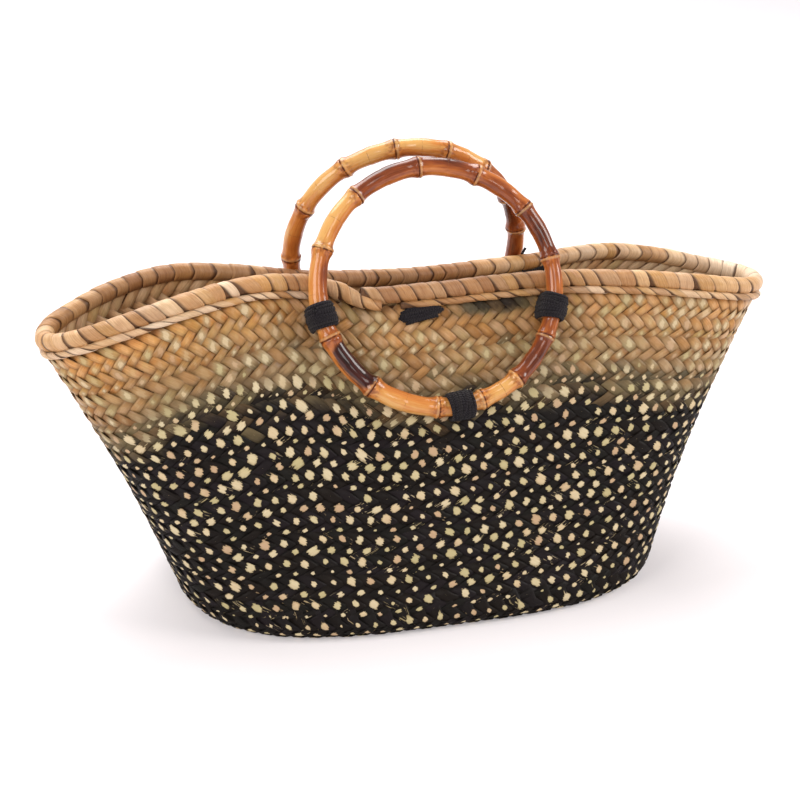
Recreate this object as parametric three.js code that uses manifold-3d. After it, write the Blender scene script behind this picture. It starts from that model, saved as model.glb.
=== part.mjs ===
// A straw market basket bag: an oval tub of plaited palm leaf, pinched at the mouth by two round
// bamboo handles that are lashed to its walls with dark cord.
// Millimetres, +Z up, -Y is the front, the bag stands on z = 0 and is centred on x = y = 0.
import * as THREE from "three";
import { mergeVertices } from "three/addons/utils/BufferGeometryUtils.js";
import Module from "manifold-3d";

const wasm = await Module();
wasm.setup();

// Driving dimensions of the woven body
const baseHalfLength = 169;
const baseHalfDepth = 124;
const baseShift = -6.5;
const baseSquareness = 3;
const baseCorner = 14;
const wallThickness = 2.8;
const rimHalfLength = 257;
const mouthHalfDepth = 42;
const rimHeight = 200;

// Rim binding
const rollRadius = 6;
const pipingRadius = 2.9;
const clearance = 0.3;
const rollClearance = 0.8;
const tailRadius = 3.2;
const tailLength = 30;
const tailDrop = 9;
const tailOut = 7.7;
const startTurn = 259.5;
const tailLap = 3;
const pipingStart = 6;
const pipingEnd = 5;

// Bamboo handles
const ringRadius = 81.5;
const rodRadius = 6.2;
const rodTaper = 0.8;
const nodeBulge = 1.1;
const nodeHalfWidth = 3.5;
const buttGap = 1.2;
const rodClearance = 0.5;
const pipingClearance = 1.5;

// Cord lashings and the stitch under the rim
const cordLayer = 2.4;
const lashingWidth = 17;
const stitchLength = 32;
const stitchWidth = 9;
const stitchLayer = 3;
const stitchDrop = 10.5;
const stitchTurn = 268;

// Mesh fineness
const wallColumns = 90;
const wallRows = 7;
const cornerRows = 3;
const rollSides = 8;
const pipingSides = 6;
const rodSides = 10;
const mergeDistance = 1e-4;

// The top edge of the wall, anticlockwise from the right tip seen from above. turn is the place round
// the bag in degrees; along, deep and high are shares of rimHalfLength, mouthHalfDepth and rimHeight.
const edgeTable = [
  { turn: 0, along: 1.0, deep: 0.0, high: 0.92 },
  { turn: 12, along: 0.978, deep: 0.42, high: 0.925 },
  { turn: 26, along: 0.9, deep: 0.84, high: 0.94 },
  { turn: 41, along: 0.76, deep: 1.02, high: 0.98 },
  { turn: 55, along: 0.575, deep: 0.9, high: 1.015 },
  { turn: 70, along: 0.34, deep: 0.57, high: 1.014 },
  { turn: 90, along: 0.0, deep: 0.73, high: 0.987 },
  { turn: 106, along: -0.276, deep: 0.89, high: 0.996 },
  { turn: 119, along: -0.485, deep: 0.93, high: 1.036 },
  { turn: 130, along: -0.645, deep: 0.985, high: 1.047 },
  { turn: 142, along: -0.79, deep: 1.03, high: 1.004 },
  { turn: 156, along: -0.92, deep: 0.77, high: 0.948 },
  { turn: 169, along: -0.985, deep: 0.4, high: 0.915 },
  { turn: 180, along: -1.0, deep: 0.0, high: 0.905 },
  { turn: 191, along: -0.985, deep: -0.4, high: 0.915 },
  { turn: 204, along: -0.92, deep: -0.77, high: 0.948 },
  { turn: 218, along: -0.79, deep: -1.0, high: 1.008 },
  { turn: 230, along: -0.645, deep: -0.93, high: 1.054 },
  { turn: 241, along: -0.485, deep: -0.65, high: 1.077 },
  { turn: 250, along: -0.342, deep: -0.47, high: 1.062 },
  { turn: 255, along: -0.26, deep: -0.49, high: 1.034 },
  { turn: 260, along: -0.175, deep: -0.57, high: 1.006 },
  { turn: 270, along: 0.0, deep: -0.68, high: 1.012 },
  { turn: 289, along: 0.325, deep: -0.74, high: 1.026 },
  { turn: 305, along: 0.575, deep: -0.93, high: 1.013 },
  { turn: 319, along: 0.76, deep: -1.03, high: 0.985 },
  { turn: 334, along: 0.9, deep: -0.85, high: 0.95 },
  { turn: 348, along: 0.978, deep: -0.42, high: 0.925 },
];

// How the wall goes from its foot (0) out or in to the rim (1) as it climbs: ends is the way along X,
// front and back the way along Y on each side, as a share of the step between foot and rim.
const profileTable = [
  { up: 0, ends: 0, front: 0, back: 0 },
  { up: 0.25, ends: 0.21, front: 0.26, back: 0.26 },
  { up: 0.5, ends: 0.44, front: 0.465, back: 0.5 },
  { up: 0.75, ends: 0.71, front: 0.7, back: 0.76 },
  { up: 1, ends: 1, front: 1, back: 1 },
];

// The bamboo rings. Each leans against the roll on both sides and against the wall at its foot.
// facing is -1 at the front and 1 at the back; across and lift place its middle beside x = 0 and over
// rimHeight, as shares of ringRadius. butt is the angle where the cane's ends meet under the bottom
// lashing, and nodes are the degrees walked from there to each joint, up the left side first.
const handles = {
  front: {
    facing: -1, across: 0.036, lift: 0.189, butt: 276,
    nodes: [11, 44, 74, 116.5, 147.5, 181, 210, 238, 265, 304, 329, 349],
  },
  back: {
    facing: 1, across: 0.015, lift: 0.27, butt: 270,
    nodes: [11, 29, 47, 88, 117, 146, 171.5, 197, 219, 240, 260, 286, 320, 349],
  },
};

// Colours
const strawMaterial = new THREE.MeshStandardMaterial({ color: 0x4a3d2e, roughness: 0.7 });
const rimMaterial = new THREE.MeshStandardMaterial({ color: 0xc79a66, roughness: 0.55 });
const bambooMaterial = new THREE.MeshStandardMaterial({ color: 0xb5682c, roughness: 0.25 });
const cordMaterial = new THREE.MeshStandardMaterial({ color: 0x1f1c20, roughness: 0.85 });

const radians = THREE.MathUtils.degToRad;
const baseMiddle = new THREE.Vector3(baseShift, 0, 0);

// Smooth interpolation of one column between rows b and c, with a and d as their outer neighbours
function smoothStep(a, b, c, d, at) {
  const span = c.at - b.at;
  const share = (at - b.at) / span;
  const slopeB = ((c.value - a.value) / (c.at - a.at)) * span;
  const slopeC = ((d.value - b.value) / (d.at - b.at)) * span;
  const square = share * share;
  const cube = square * share;
  return (
    (2 * cube - 3 * square + 1) * b.value + (cube - 2 * square + share) * slopeB +
    (3 * square - 2 * cube) * c.value + (cube - square) * slopeC
  );
}

function edgeColumn(column, turn) {
  const count = edgeTable.length;
  const at = ((turn % 360) + 360) % 360;
  let low = count - 1;
  while (edgeTable[low].turn > at) low -= 1;
  const row = (k) => {
    const wrap = Math.floor(k / count);
    const entry = edgeTable[k - wrap * count];
    return { at: entry.turn + 360 * wrap, value: entry[column] };
  };
  return smoothStep(row(low - 1), row(low), row(low + 1), row(low + 2), at);
}

function profileColumn(column, share) {
  const last = profileTable.length - 1;
  let low = last - 1;
  while (low > 0 && profileTable[low].up > share) low -= 1;
  const row = (k) => {
    const entry = profileTable[Math.min(Math.max(k, 0), last)];
    return { at: entry.up, value: entry[column] };
  };
  return smoothStep(row(low - 1), row(low), row(low + 1), row(low + 2), share);
}

function edgePoint(turn) {
  return new THREE.Vector3(
    rimHalfLength * edgeColumn("along", turn),
    mouthHalfDepth * edgeColumn("deep", turn),
    rimHeight * edgeColumn("high", turn),
  );
}

// The oval on the floor, about its own middle, that the wall would start from if its corner were sharp
function baseOval(turn) {
  const power = (value) => Math.sign(value) * Math.abs(value) ** (2 / baseSquareness);
  return new THREE.Vector3(
    baseHalfLength * power(Math.cos(radians(turn))),
    baseHalfDepth * power(Math.sin(radians(turn))),
    0,
  );
}

// The wall from its sharp corner (share 0) to the rim (share 1)
function wallPoint(turn, share) {
  const foot = baseOval(turn).add(baseMiddle);
  const edge = edgePoint(turn);
  return new THREE.Vector3(
    THREE.MathUtils.lerp(foot.x, edge.x, profileColumn("ends", share)),
    THREE.MathUtils.lerp(foot.y, edge.y, profileColumn(foot.y < 0 ? "front" : "back", share)),
    edge.z * share,
  );
}

function bezier(a, b, c, share) {
  return new THREE.Vector3()
    .addScaledVector(a, (1 - share) ** 2)
    .addScaledVector(b, 2 * share * (1 - share))
    .addScaledVector(c, share * share);
}

// The outer surface from the middle of the base (level 0) over the corner (1 to 2) to the rim (3)
function outerPoint(turn, level) {
  const corner = baseOval(turn);
  const flatEnd = corner.clone().multiplyScalar(1 - baseCorner / corner.length());
  if (level <= 1) return flatEnd.multiplyScalar(level).add(baseMiddle);
  const wallStart = baseCorner / rimHeight;
  corner.add(baseMiddle);
  flatEnd.add(baseMiddle);
  if (level <= 2) return bezier(flatEnd, corner, wallPoint(turn, wallStart), level - 1);
  return wallPoint(turn, wallStart + (1 - wallStart) * (level - 2));
}

function outwardNormal(turn, level) {
  const step = 0.02;
  const around = outerPoint(turn + 0.5, level).sub(outerPoint(turn - 0.5, level));
  const upward = outerPoint(turn, Math.min(level + step, 3)).sub(outerPoint(turn, level - step));
  return around.cross(upward).normalize();
}

function innerPoint(turn, level) {
  if (level <= 1) return outerPoint(turn, level).setZ(wallThickness);
  return outerPoint(turn, level).addScaledVector(outwardNormal(turn, level), -wallThickness);
}

// A lathe turned from pole to pole, whose rings are then moved to the given rings of points
function shapedLathe(rings, firstPole, lastPole) {
  const sides = rings[0].length;
  const moved = [Array(sides).fill(firstPole), ...rings, Array(sides).fill(lastPole)];
  const last = moved.length - 1;
  const profile = moved.map((_, k) => new THREE.Vector2(k > 0 && k < last ? 1 : 0, k));
  const lathe = new THREE.LatheGeometry(profile, sides);
  const position = lathe.attributes.position;
  for (let column = 0; column <= sides; column += 1) {
    moved.forEach((ring, row) => {
      const { x, y, z } = ring[column % sides];
      position.setXYZ(column * moved.length + row, x, y, z);
    });
  }
  lathe.deleteAttribute("normal");
  lathe.deleteAttribute("uv");
  return lathe;
}

// A rod of round sections along stations { centre, radius }; side and up give each section's plane
function sweptRod(stations, sides, plane) {
  const rings = stations.map((station, k) => {
    const { side, up } = plane(station, k);
    return Array.from({ length: sides }, (_, s) => {
      const angle = (2 * Math.PI * (s + 0.5)) / sides;
      return station.centre.clone()
        .addScaledVector(side, station.radius * Math.cos(angle))
        .addScaledVector(up, station.radius * Math.sin(angle));
    });
  });
  return shapedLathe(rings, stations[0].centre, stations.at(-1).centre);
}

// A strand along the rim, with its sections square to the way it runs
function rimStrand(stations, sides) {
  return sweptRod(stations, sides, (_, k) => {
    const before = stations[Math.max(k - 1, 0)].centre;
    const after = stations[Math.min(k + 1, stations.length - 1)].centre;
    const forward = after.clone().sub(before).normalize();
    const side = new THREE.Vector3(0, 0, 1).cross(forward).normalize();
    return { side, up: forward.clone().cross(side) };
  });
}

function toSolid(geometry) {
  const bare = geometry.clone();
  bare.deleteAttribute("normal");
  bare.deleteAttribute("uv");
  const merged = mergeVertices(bare, mergeDistance);
  const corners = merged.index.array;
  const whole = [];
  for (let k = 0; k < corners.length; k += 3) {
    const [a, b, c] = corners.subarray(k, k + 3);
    if (a !== b && b !== c && c !== a) whole.push(a, b, c);
  }
  return new wasm.Manifold(new wasm.Mesh({
    numProp: 3,
    vertProperties: new Float32Array(merged.attributes.position.array),
    triVerts: new Uint32Array(whole),
  }));
}

function fromSolid(solid) {
  const mesh = solid.getMesh();
  const geometry = new THREE.BufferGeometry();
  geometry.setAttribute("position", new THREE.BufferAttribute(mesh.vertProperties.slice(), 3));
  geometry.setIndex(new THREE.BufferAttribute(mesh.triVerts.slice(), 1));
  return geometry;
}

// The plaited tub: outer skin from the middle of the base up, over the edge and down the inside
function wovenBody() {
  const turns = Array.from({ length: wallColumns }, (_, k) => (360 * k) / wallColumns);
  const levels = [0.5, 1];
  for (let k = 1; k <= cornerRows; k += 1) levels.push(1 + k / cornerRows);
  for (let k = 1; k <= wallRows; k += 1) levels.push(2 + k / wallRows);
  const outside = levels.map((level) => turns.map((turn) => outerPoint(turn, level)));
  const inside = levels.map((level) => turns.map((turn) => innerPoint(turn, level)));
  const rings = [...outside, ...inside.reverse()];
  return shapedLathe(rings, baseMiddle, baseMiddle.clone().setZ(wallThickness));
}

// The middle of the roll that caps the edge
function rollCentre(turn) {
  const outward = outwardNormal(turn, 3);
  const top = edgePoint(turn).addScaledVector(outward, -wallThickness / 2);
  const along = edgePoint(turn + 0.5).sub(edgePoint(turn - 0.5)).normalize();
  top.z += (rollRadius + rollClearance) / Math.hypot(along.x, along.y);
  top.z += (Math.abs(outward.z) * wallThickness) / 2;
  return top;
}

// The thin strand lies on the outside of the wall, as high as the roll above it lets it
function pipingCentre(turn) {
  const roll = rollCentre(turn);
  const reach = rollRadius + pipingRadius + clearance;
  const onWall = (level) => {
    const offset = pipingRadius + clearance;
    return outerPoint(turn, level).addScaledVector(outwardNormal(turn, level), offset);
  };
  let [low, high] = [2.8, 3];
  for (let k = 0; k < 20; k += 1) {
    const middle = (low + high) / 2;
    if (onWall(middle).distanceTo(roll) > reach) low = middle;
    else high = middle;
  }
  return onWall(low);
}

// Turns from one place to another, in the same steps as the columns of the wall
function turnsBetween(from, to) {
  const step = 360 / wallColumns;
  const turns = [from];
  for (let k = Math.floor(from / step) + 1; k * step < to; k += 1) {
    const turn = k * step;
    if (turn - from > step / 4 && to - turn > step / 4) turns.push(turn);
  }
  return [...turns, to];
}

// The thick wrapped roll: it starts blunt at the front, runs once round and tucks its tail under
function rimRoll() {
  const end = startTurn + 360 + tailLap;
  const stations = turnsBetween(startTurn, end).map((turn) => {
    const left = (end - turn) * radians(1) * rimHalfLength;
    const tuck = THREE.MathUtils.smoothstep(1 - left / tailLength, 0, 1);
    const centre = rollCentre(turn);
    centre.addScaledVector(outwardNormal(turn, 2.95), tuck * tailOut);
    centre.z -= tuck * tailDrop;
    return { centre, radius: THREE.MathUtils.lerp(rollRadius, tailRadius, tuck) };
  });
  return rimStrand(stations, rollSides);
}

function rimPiping() {
  const turns = turnsBetween(startTurn + pipingStart, startTurn + 360 - pipingEnd);
  const stations = turns.map((turn) => ({ centre: pipingCentre(turn), radius: pipingRadius }));
  return rimStrand(stations, pipingSides);
}

// The turn where the edge of the front (facing -1) or back (1) wall passes a place along X
function turnAtX(x, facing) {
  let [low, high] = [181, 359];
  for (let k = 0; k < 30; k += 1) {
    const middle = (low + high) / 2;
    if (edgePoint(-facing * middle).x < x) low = middle;
    else high = middle;
  }
  return -facing * low;
}

// The nearest place on the wall's outer skin to a point, by walking the skin in ever smaller steps
function nearestOnWall(point) {
  let best = { turn: 0, level: 2.5, gap: Infinity };
  const look = (turn, level) => {
    const gap = outerPoint(turn, Math.min(level, 3)).distanceTo(point);
    if (gap < best.gap) best = { turn, level: Math.min(level, 3), gap };
  };
  for (let turn = 0; turn < 360; turn += 4) {
    for (let level = 2; level <= 3; level += 0.1) look(turn, level);
  }
  for (let step = 2; step > 0.01; step /= 2) {
    const { turn, level } = best;
    for (const across of [-step, 0, step]) {
      for (const up of [-step / 40, 0, step / 40]) look(turn + across, Math.max(2, level + up));
    }
  }
  return best;
}

// Stands a ring against the rim and the wall: its frame has X along the ring's width, Z up its slope
function seatHandle(handle) {
  const { facing, across, lift } = handle;
  const reach = rodRadius + rodTaper / 2 + rodClearance;
  const middle = new THREE.Vector3(across * ringRadius, 0, rimHeight + lift * ringRadius);
  const frame = new THREE.Matrix4();
  const foot = middle.clone().setY(facing * (baseHalfDepth + reach));
  let lean = 0;
  for (let k = 0; k < 12; k += 1) {
    const proud = (depth) => (facing * depth) / Math.cos(lean);
    const [left, right] = [-1, 1].map((side) => {
      const turn = turnAtX(middle.x + side * ringRadius * Math.sqrt(1 - lift * lift), facing);
      const touch = rollCentre(turn);
      touch.y += proud(rollRadius + reach);
      return touch;
    });
    foot.z = middle.z - ringRadius * Math.cos(lean);
    foot.y += proud(reach + nodeBulge - nearestOnWall(foot).gap);
    const normal = left.clone().sub(foot).cross(right.clone().sub(foot)).normalize();
    normal.multiplyScalar(Math.sign(normal.y));
    const level = normal.clone().cross(new THREE.Vector3(0, 0, 1)).normalize();
    const slope = level.clone().cross(normal);
    middle.y = foot.y - ((middle.x - foot.x) * normal.x + (middle.z - foot.z) * normal.z) / normal.y;
    lean = Math.atan2(Math.abs(slope.y), slope.z);
    frame.makeBasis(level, normal, slope).setPosition(middle);
  }
  return { ...handle, frame };
}

// The place on a seated ring at an angle, 0 at the right and 90 at the top, seen from the front
function ringPoint(handle, angle, radius = ringRadius) {
  const [across, up] = [Math.cos(radians(angle)), Math.sin(radians(angle))];
  return new THREE.Vector3(radius * across, 0, radius * up).applyMatrix4(handle.frame);
}

// The cane's radius after walking some degrees from the butt: thick at the start, swollen at joints
function caneRadius(handle, walked) {
  const taper = rodRadius + rodTaper * (0.5 - walked / 360);
  const nearest = Math.min(...handle.nodes.map((node) => Math.abs(node - walked)));
  const away = (radians(nearest) * ringRadius) / nodeHalfWidth;
  return taper + nodeBulge * Math.exp(-away * away);
}

// The stations of the cane: three at each joint and two on each bare stretch
function caneWalk(handle) {
  const half = THREE.MathUtils.radToDeg(buttGap / 2 / ringRadius);
  const step = THREE.MathUtils.radToDeg(nodeHalfWidth / ringRadius);
  const places = [half, 360 - half];
  handle.nodes.forEach((node, k) => {
    const next = handle.nodes[k + 1] ?? 360;
    const bare = (next - node) / 3;
    places.push(node - step, node, node + step, node + bare, next - bare);
  });
  const walk = places.filter((place) => place >= half && place <= 360 - half);
  return walk.sort((a, b) => a - b);
}

// The thickest that the cane is under a lashing, its bend within the lashing's width included
function caneReach(handle, angle) {
  const walk = caneWalk(handle);
  const half = THREE.MathUtils.radToDeg(lashingWidth / 2 / ringRadius);
  const centre = (((handle.butt - angle) % 360) + 360) % 360;
  const near = (place) => Math.abs(((place - centre + 540) % 360) - 180) <= half;
  const reached = walk.filter((place, k) => {
    const [before, after] = [walk[k - 1] ?? place, walk[k + 1] ?? place];
    return near(place) || near(before) || near(after);
  });
  const thickest = Math.max(rodRadius, ...reached.map((place) => caneRadius(handle, place)));
  return thickest + lashingWidth ** 2 / (8 * ringRadius);
}

function bambooHandle(handle) {
  const stations = caneWalk(handle).map((walked) => ({
    centre: ringPoint(handle, handle.butt - walked),
    radius: caneRadius(handle, walked),
  }));
  const middle = ringPoint(handle, 0, 0);
  const axis = ringPoint(handle, 0).sub(middle).cross(ringPoint(handle, 90).sub(middle)).normalize();
  return sweptRod(stations, rodSides, ({ centre }) => ({
    side: centre.clone().sub(middle).normalize(),
    up: axis,
  }));
}

// A flat loop with round ends, extruded by width: its hole is as long as reach past the rod's middle
function bandLoop(inner, reach, layer, width) {
  const outline = (path, radius, back) => {
    path.moveTo(radius, 0);
    path.absarc(0, 0, radius, 0, Math.PI, false);
    path.lineTo(-radius, -back);
    path.lineTo(radius, -back);
    path.closePath();
    return path;
  };
  const shape = outline(new THREE.Shape(), inner + layer, reach + layer);
  shape.holes.push(outline(new THREE.Path(), inner, reach));
  const band = new THREE.ExtrudeGeometry(shape, { depth: width, bevelEnabled: false, curveSegments: 10 });
  band.translate(0, 0, -width / 2);
  return band;
}

// The ring's angle at which a side lashing just clears the strand under the roll: side -1 left, 1 right
function lashingAngle(handle, side) {
  const middle = ringPoint(handle, 0, 0);
  const slope = ringPoint(handle, 90).sub(middle);
  let lowered = 0;
  for (let k = 0; k < 8; k += 1) {
    const angle = 90 - side * (90 + lowered);
    const centre = ringPoint(handle, angle);
    const turn = turnAtX(centre.x, handle.facing);
    const halfBand = caneReach(handle, angle) + rodClearance + cordLayer;
    const halfHigh = (Math.cos(radians(lowered)) * lashingWidth) / 2 + Math.sin(radians(lowered)) * halfBand;
    const dropToWall = (nearestOnWall(centre).gap * Math.abs(slope.y)) / ringRadius;
    const underPiping = pipingCentre(turn).z - pipingRadius - pipingClearance;
    const height = underPiping - halfHigh + dropToWall;
    lowered = THREE.MathUtils.radToDeg(Math.asin((middle.z - height) / slope.z));
  }
  return 90 - side * (90 + lowered);
}

// A lashing goes round the cane, through the wall on both sides of it and across the inside
function lashing(handle, angle, grow = 0) {
  const centre = ringPoint(handle, angle);
  const along = ringPoint(handle, angle + 1).sub(ringPoint(handle, angle - 1)).normalize();
  const seat = nearestOnWall(centre);
  const inward = outwardNormal(seat.turn, seat.level).negate();
  inward.addScaledVector(along, -inward.dot(along)).normalize();
  const inner = caneReach(handle, angle) + rodClearance - grow;
  const reach = seat.gap + wallThickness + clearance - grow;
  const band = bandLoop(inner, reach, cordLayer + 2 * grow, lashingWidth + 2 * grow);
  const side = along.clone().cross(inward);
  band.applyMatrix4(new THREE.Matrix4().makeBasis(side, inward.clone().negate(), along));
  band.translate(centre.x, centre.y, centre.z);
  return band;
}

// The dark yarn stitch under the middle of the front rim: a flat loop through the wall
function frontStitch(grow = 0) {
  const turn = stitchTurn;
  const level = 3 - stitchDrop / rimHeight;
  const outward = outwardNormal(turn, level);
  const along = outerPoint(turn + 1, level).sub(outerPoint(turn - 1, level)).normalize();
  const up = outward.clone().cross(along);
  const long = stitchLength / 2 - stitchLayer - grow;
  const deep = wallThickness / 2 + clearance - grow;
  const layer = stitchLayer + 2 * grow;
  const box = (path, halfLong, halfDeep) => {
    path.moveTo(-halfLong, -halfDeep);
    path.lineTo(halfLong, -halfDeep);
    path.lineTo(halfLong, halfDeep);
    path.lineTo(-halfLong, halfDeep);
    path.closePath();
    return path;
  };
  const shape = box(new THREE.Shape(), long + layer, deep + layer);
  shape.holes.push(box(new THREE.Path(), long, deep));
  const width = stitchWidth + 2 * grow;
  const band = new THREE.ExtrudeGeometry(shape, { depth: width, bevelEnabled: false });
  band.translate(0, 0, -width / 2);
  const centre = outerPoint(turn, level).addScaledVector(outward, -wallThickness / 2);
  band.applyMatrix4(new THREE.Matrix4().makeBasis(along, outward, up.negate()));
  band.translate(centre.x, centre.y, centre.z);
  return band;
}

const bag = new THREE.Group();

function place(name, geometry, material) {
  const mesh = new THREE.Mesh(geometry, material);
  mesh.name = name;
  bag.add(mesh);
}

let body = toSolid(wovenBody());
for (const [side, unseated] of Object.entries(handles)) {
  const handle = seatHandle(unseated);
  const spots = { left: lashingAngle(handle, -1), right: lashingAngle(handle, 1), bottom: handle.butt };
  place(`${side}_handle`, bambooHandle(handle), bambooMaterial);
  for (const [spot, angle] of Object.entries(spots)) {
    place(`${side}_lashing_${spot}`, lashing(handle, angle), cordMaterial);
    body = body.subtract(toSolid(lashing(handle, angle, clearance)));
  }
}
body = body.subtract(toSolid(frontStitch(clearance)));
place("front_stitch", frontStitch(), cordMaterial);
place("woven_body", fromSolid(body), strawMaterial);
place("rim_roll", rimRoll(), rimMaterial);
place("rim_piping", rimPiping(), rimMaterial);

export default bag;
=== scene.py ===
"""A straw market basket bag: herringbone plait dyed black below, a wrapped rim, bamboo ring handles."""

import math

import bmesh
import bpy
import numpy as np
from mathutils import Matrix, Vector


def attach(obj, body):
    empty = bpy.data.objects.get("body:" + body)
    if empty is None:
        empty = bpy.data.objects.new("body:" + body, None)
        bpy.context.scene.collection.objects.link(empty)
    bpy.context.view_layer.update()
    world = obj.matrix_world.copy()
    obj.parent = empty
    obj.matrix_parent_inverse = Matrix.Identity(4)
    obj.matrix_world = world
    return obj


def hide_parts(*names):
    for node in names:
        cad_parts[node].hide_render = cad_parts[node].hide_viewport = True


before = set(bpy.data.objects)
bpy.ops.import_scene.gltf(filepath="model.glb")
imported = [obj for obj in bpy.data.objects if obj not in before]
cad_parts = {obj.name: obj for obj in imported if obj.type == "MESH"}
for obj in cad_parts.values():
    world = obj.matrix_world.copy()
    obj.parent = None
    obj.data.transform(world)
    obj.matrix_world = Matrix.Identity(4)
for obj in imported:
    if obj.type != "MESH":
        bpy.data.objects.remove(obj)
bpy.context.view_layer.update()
MM = 0.001

# Sizes of the bag, in millimetres, as the solids have them
BASE_HALF_LENGTH, BASE_HALF_DEPTH, BASE_SHIFT = 169, 124, -6.5
BASE_SQUARENESS, BASE_CORNER, WALL = 3, 14, 2.8
RIM_HALF_LENGTH, MOUTH_HALF_DEPTH, RIM_HEIGHT = 257, 42, 200
ROLL, PIPING, ROLL_CLEARANCE = 6, 2.5, 0.8
TAIL_RADIUS, TAIL_LENGTH, TAIL_DROP, TAIL_OUT, TAIL_LAP = 3.2, 30, 9, 7.7, 3
START_TURN, PIPING_START, PIPING_END, PIPING_PRESS = 259.5, 6, 5, 0.2
RING, ROD, ROD_TAPER, NODE_BULGE, BUTT_GAP = 81.5, 6.2, 0.8, 1.1, 1.2

# The top edge of the wall: turn in degrees, then shares of the rim's half length, half depth and height
EDGE = np.array([
    (0, 1, 0, .92), (12, .978, .42, .925), (26, .9, .84, .94), (41, .76, 1.02, .98),
    (55, .575, .9, 1.015), (70, .34, .57, 1.014), (90, 0, .73, .987), (106, -.276, .89, .996),
    (119, -.485, .93, 1.036), (130, -.645, .985, 1.047), (142, -.79, 1.03, 1.004),
    (156, -.92, .77, .948), (169, -.985, .4, .915), (180, -1, 0, .905), (191, -.985, -.4, .915),
    (204, -.92, -.77, .948), (218, -.79, -1, 1.008), (230, -.645, -.93, 1.054),
    (241, -.485, -.65, 1.077), (250, -.342, -.47, 1.062), (255, -.26, -.49, 1.034),
    (260, -.175, -.57, 1.006), (270, 0, -.68, 1.012), (289, .325, -.74, 1.026),
    (305, .575, -.93, 1.013), (319, .76, -1.03, .985), (334, .9, -.85, .95),
    (348, .978, -.42, .925)], float)
# How the wall goes from foot to rim as it climbs: ends, front and back
PROFILE = np.array([
    (0, 0, 0, 0), (.25, .21, .26, .26), (.5, .44, .465, .5), (.75, .71, .7, .76), (1, 1, 1, 1)])
# How high the black dye reaches on the wall, as a share of its height, by turn
DYE_EDGE = np.array([
    (0, .66), (20, .68), (40, .72), (60, .69), (80, .73), (100, .7), (120, .72), (140, .68),
    (160, .66), (180, .62), (205, .655), (219, .7), (228, .725), (240, .74), (257, .745),
    (263, .7), (270, .665), (279, .7), (290, .715), (301, .7), (314, .68), (333, .66)])
# How brown and how amber the bare straw is round the bag, by turn; below 0 it is paler. The paler right end is
# painted light, and the brown at the back, about turns 60 to 130, is painted shade for the inner face of the
# back roll
STRAW_TONE_AND_PAINTED_LIGHT = np.array([
    (0, -1, 0), (25, -1, 0), (45, -.8, .1), (60, -.1, .2), (90, .6, .2), (130, .4, .2),
    (160, -.1, .1), (180, -.2, 0), (192, -.1, .2), (203, 0, .6), (215, 0, .9), (230, 0, 1),
    (245, .1, .8), (256, .5, .4), (266, .8, .25), (280, .85, .2), (290, .7, .25), (300, .35, .4),
    (312, .1, .55), (325, -.1, .5), (338, -.5, .2), (349, -.9, 0)])


# Shape of the wall
def smooth_through(knots, values, at):
    """A smooth curve through the knots, with one spare knot past each end of the range."""
    k = np.clip(np.searchsorted(knots, at, side="right") - 1, 1, len(knots) - 3)
    span = knots[k + 1] - knots[k]
    t = (at - knots[k]) / span
    first = (values[k + 1] - values[k - 1]) / (knots[k + 1] - knots[k - 1]) * span
    last = (values[k + 2] - values[k]) / (knots[k + 2] - knots[k]) * span
    t2, t3 = t * t, t ** 3
    return ((2 * t3 - 3 * t2 + 1) * values[k] + (t3 - 2 * t2 + t) * first
            + (3 * t2 - 2 * t3) * values[k + 1] + (t3 - t2) * last)


def round_table(table, column, turn):
    """One column of a table that goes once round the bag."""
    knots = np.concatenate([table[-2:, 0] - 360, table[:, 0], table[:2, 0] + 360])
    values = np.concatenate([table[-2:, column], table[:, column], table[:2, column]])
    return smooth_through(knots, values, np.mod(turn, 360))


def profile(column, share):
    """How far the wall has gone from foot to rim at a share of its height."""
    knots = np.concatenate([[0], PROFILE[:, 0], [1]])
    values = np.concatenate([[0], PROFILE[:, column], [1]])
    return smooth_through(knots, values, np.clip(share, 0, 1 - 1e-9))


def stack(x, y, z):
    """Points from coordinates that are first spread to one shape."""
    return np.stack(np.broadcast_arrays(x, y, z), -1)


def edge_point(turn):
    """The top edge of the wall."""
    return stack(RIM_HALF_LENGTH * round_table(EDGE, 1, turn),
                 MOUTH_HALF_DEPTH * round_table(EDGE, 2, turn),
                 RIM_HEIGHT * round_table(EDGE, 3, turn))


def base_oval(turn):
    """The outline of the base, a squarish oval."""
    cos, sin = np.cos(np.radians(turn)), np.sin(np.radians(turn))
    power = 2 / BASE_SQUARENESS
    return stack(BASE_HALF_LENGTH * np.sign(cos) * np.abs(cos) ** power,
                 BASE_HALF_DEPTH * np.sign(sin) * np.abs(sin) ** power, 0.0)


def wall_point(turn, share):
    """The outer skin of the wall at a share of its height."""
    foot = base_oval(turn) + [BASE_SHIFT, 0, 0]
    edge = edge_point(turn)
    along = profile(1, share)
    across = np.where(foot[..., 1] < 0, profile(2, share), profile(3, share))
    return stack(foot[..., 0] + (edge[..., 0] - foot[..., 0]) * along,
                 foot[..., 1] + (edge[..., 1] - foot[..., 1]) * across, edge[..., 2] * share)


def skin(turn, level):
    """The outer skin: the base from its middle (0) out (1), round the corner (2) and up to the rim (3)."""
    turn, level = np.broadcast_arrays(np.asarray(turn, float), np.asarray(level, float))
    shift = np.array([BASE_SHIFT, 0, 0])
    corner = base_oval(turn)
    flat = corner * (1 - BASE_CORNER / np.linalg.norm(corner, axis=-1, keepdims=True))
    start = BASE_CORNER / RIM_HEIGHT
    t = np.clip(level - 1, 0, 1)[..., None]
    bend = ((flat + shift) * (1 - t) ** 2 + (corner + shift) * 2 * t * (1 - t)
            + wall_point(turn, start) * t * t)
    climb = wall_point(turn, start + (1 - start) * np.clip(level - 2, 0, 1.06))
    low = flat * np.minimum(level, 1)[..., None] + shift
    return np.where((level <= 1)[..., None], low, np.where((level <= 2)[..., None], bend, climb))


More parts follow.
